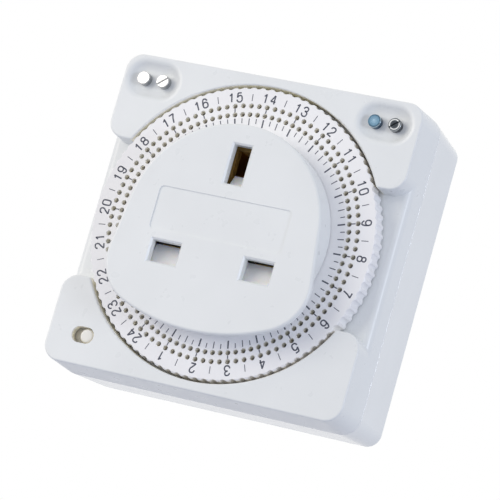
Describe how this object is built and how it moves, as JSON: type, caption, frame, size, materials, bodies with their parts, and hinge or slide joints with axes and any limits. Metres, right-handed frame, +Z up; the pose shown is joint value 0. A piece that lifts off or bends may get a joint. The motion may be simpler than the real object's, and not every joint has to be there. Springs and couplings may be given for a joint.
{
  "type": "plug-in timer switch",
  "caption": "Plug-in 24 hour timer for a square-pin outlet: square white casing, turning dial with tappet holes, socket face, plug pins and override slide.",
  "frame": {"origin": "centre of the flat back face of the casing, on the axis of the dial", "axes": "+Z up, +X right as the front is seen, +Y out of the back face towards the wall outlet; the front faces -Y"},
  "size_m": [0.0728, 0.0602, 0.0728],
  "materials": {
    "white_casing": "satin white moulded casing plastic, fine grain",
    "white_dial": "satin white dial plastic with printed scale",
    "white_shutter": "smooth white inner plastic",
    "grey_plastic": "grey glass-filled inner plastic",
    "gear_plastic": "cream acetal gear plastic",
    "black_sleeve": "black pin sleeve plastic",
    "brass": "stamped brass, slightly tarnished",
    "bright_steel": "zinc-plated steel",
    "spring_steel": "drawn spring steel wire",
    "copper_coil": "enamelled copper winding",
    "rotor_magnet": "dark ferrite magnet",
    "pale_tappet": "bright white gloss plastic",
    "blue_tappet": "steel-blue gloss",
    "dark_tappet": "dark bright-plated finish"
  },
  "bodies": {
    "case": {"front_cover": "white_casing", "rear_cover": "white_casing", "case_screws": "bright_steel", "chassis": "grey_plastic", "socket_cover": "white_casing", "socket_screws": "bright_steel", "shutter_spring": "spring_steel", "contact_carrier": "grey_plastic", "live_contact": "brass", "neutral_contact": "brass", "earth_contact": "brass", "neutral_link": "brass", "earth_link": "brass", "live_load_bar": "brass", "live_feed_bar": "brass", "live_pin": "brass", "neutral_pin": "brass", "earth_pin": "brass", "pin_sleeves": "black_sleeve", "motor_gearbox": "grey_plastic", "motor_can": "bright_steel", "motor_coil": "copper_coil", "motor_screws": "bright_steel", "gear_arbors": "bright_steel", "lever_pivot": "bright_steel", "blade_post": "brass", "fixed_contact": "brass", "switch_base": "grey_plastic"},
    "dial": {"dial_ring": "white_dial", "dial_gear": "gear_plastic"},
    "drive": {"drive_gear": "gear_plastic"},
    "idler": {"idler_gear": "gear_plastic"},
    "motor_output": {"motor_pinion": "gear_plastic"},
    "rotor": {"motor_rotor": "rotor_magnet"},
    "shutter": {"shutter": "white_shutter"},
    "override": {"override_slider": "white_casing"},
    "lever": {"trip_lever": "grey_plastic"},
    "blade": {"contact_blade": "brass"},
    "pale_plain_tappet": {"tappet_pale_plain": "pale_tappet"},
    "pale_slotted_tappet": {"tappet_pale_slotted": "pale_tappet"},
    "dark_plain_tappet": {"tappet_dark_plain": "blue_tappet"},
    "dark_slotted_tappet": {"tappet_dark_slotted": "dark_tappet"}
  },
  "joints": [
    {"name": "dial_spin", "type": "hinge", "parent": "case", "child": "dial", "pos_m": [0, 0, 0], "axis": [0, 1, 0], "continuous": true},
    {"name": "drive_spin", "type": "hinge", "parent": "case", "child": "drive", "pos_m": [0.01404, 0, -0.02431], "axis": [0, 1, 0], "continuous": true},
    {"name": "idler_spin", "type": "hinge", "parent": "case", "child": "idler", "pos_m": [0.00452, 0, -0.02307], "axis": [0, 1, 0], "continuous": true},
    {"name": "motor_output_spin", "type": "hinge", "parent": "case", "child": "motor_output", "pos_m": [-0.005, 0, -0.02431], "axis": [0, 1, 0], "continuous": true},
    {"name": "rotor_spin", "type": "hinge", "parent": "case", "child": "rotor", "pos_m": [-0.005, 0, -0.02431], "axis": [0, 1, 0], "continuous": true},
    {"name": "override_slide", "type": "slide", "parent": "case", "child": "override", "axis": [-1, 0, 0], "range_m": [0, 0.0017]},
    {"name": "lever_swing", "type": "hinge", "parent": "case", "child": "lever", "pos_m": [-0.0247, 0, -0.0168], "axis": [0, 1, 0], "range_deg": [0, 7.46]},
    {"name": "blade_swing", "type": "hinge", "parent": "case", "child": "blade", "pos_m": [-0.0236, 0, 0.009], "axis": [0, -1, 0], "range_deg": [0, 3.99]},
    {"name": "shutter_slide", "type": "slide", "parent": "case", "child": "shutter", "axis": [0, 0, -1], "range_m": [0, 0.0046], "stiffness_N_per_m": 40, "springref_m": -0.002, "deforming": ["shutter_spring"]},
    {"name": "pale_plain_tappet_pull", "type": "slide", "parent": "case", "child": "pale_plain_tappet", "axis": [0, -1, 0], "range_m": [0, 0.006]},
    {"name": "pale_slotted_tappet_pull", "type": "slide", "parent": "case", "child": "pale_slotted_tappet", "axis": [0, -1, 0], "range_m": [0, 0.006]},
    {"name": "dark_plain_tappet_pull", "type": "slide", "parent": "case", "child": "dark_plain_tappet", "axis": [0, -1, 0], "range_m": [0, 0.006]},
    {"name": "dark_slotted_tappet_pull", "type": "slide", "parent": "case", "child": "dark_slotted_tappet", "axis": [0, -1, 0], "range_m": [0, 0.006]}
  ],
  "couplings": [
    {"joint": "drive_spin", "follows": "dial_spin", "ratio": -8},
    {"joint": "idler_spin", "follows": "dial_spin", "ratio": 24},
    {"joint": "motor_output_spin", "follows": "dial_spin", "ratio": -72},
    {"joint": "lever_swing", "follows": "override_slide", "rad_per_m": 76.508},
    {"joint": "blade_swing", "follows": "override_slide", "rad_per_m": 40.904}
  ]
}
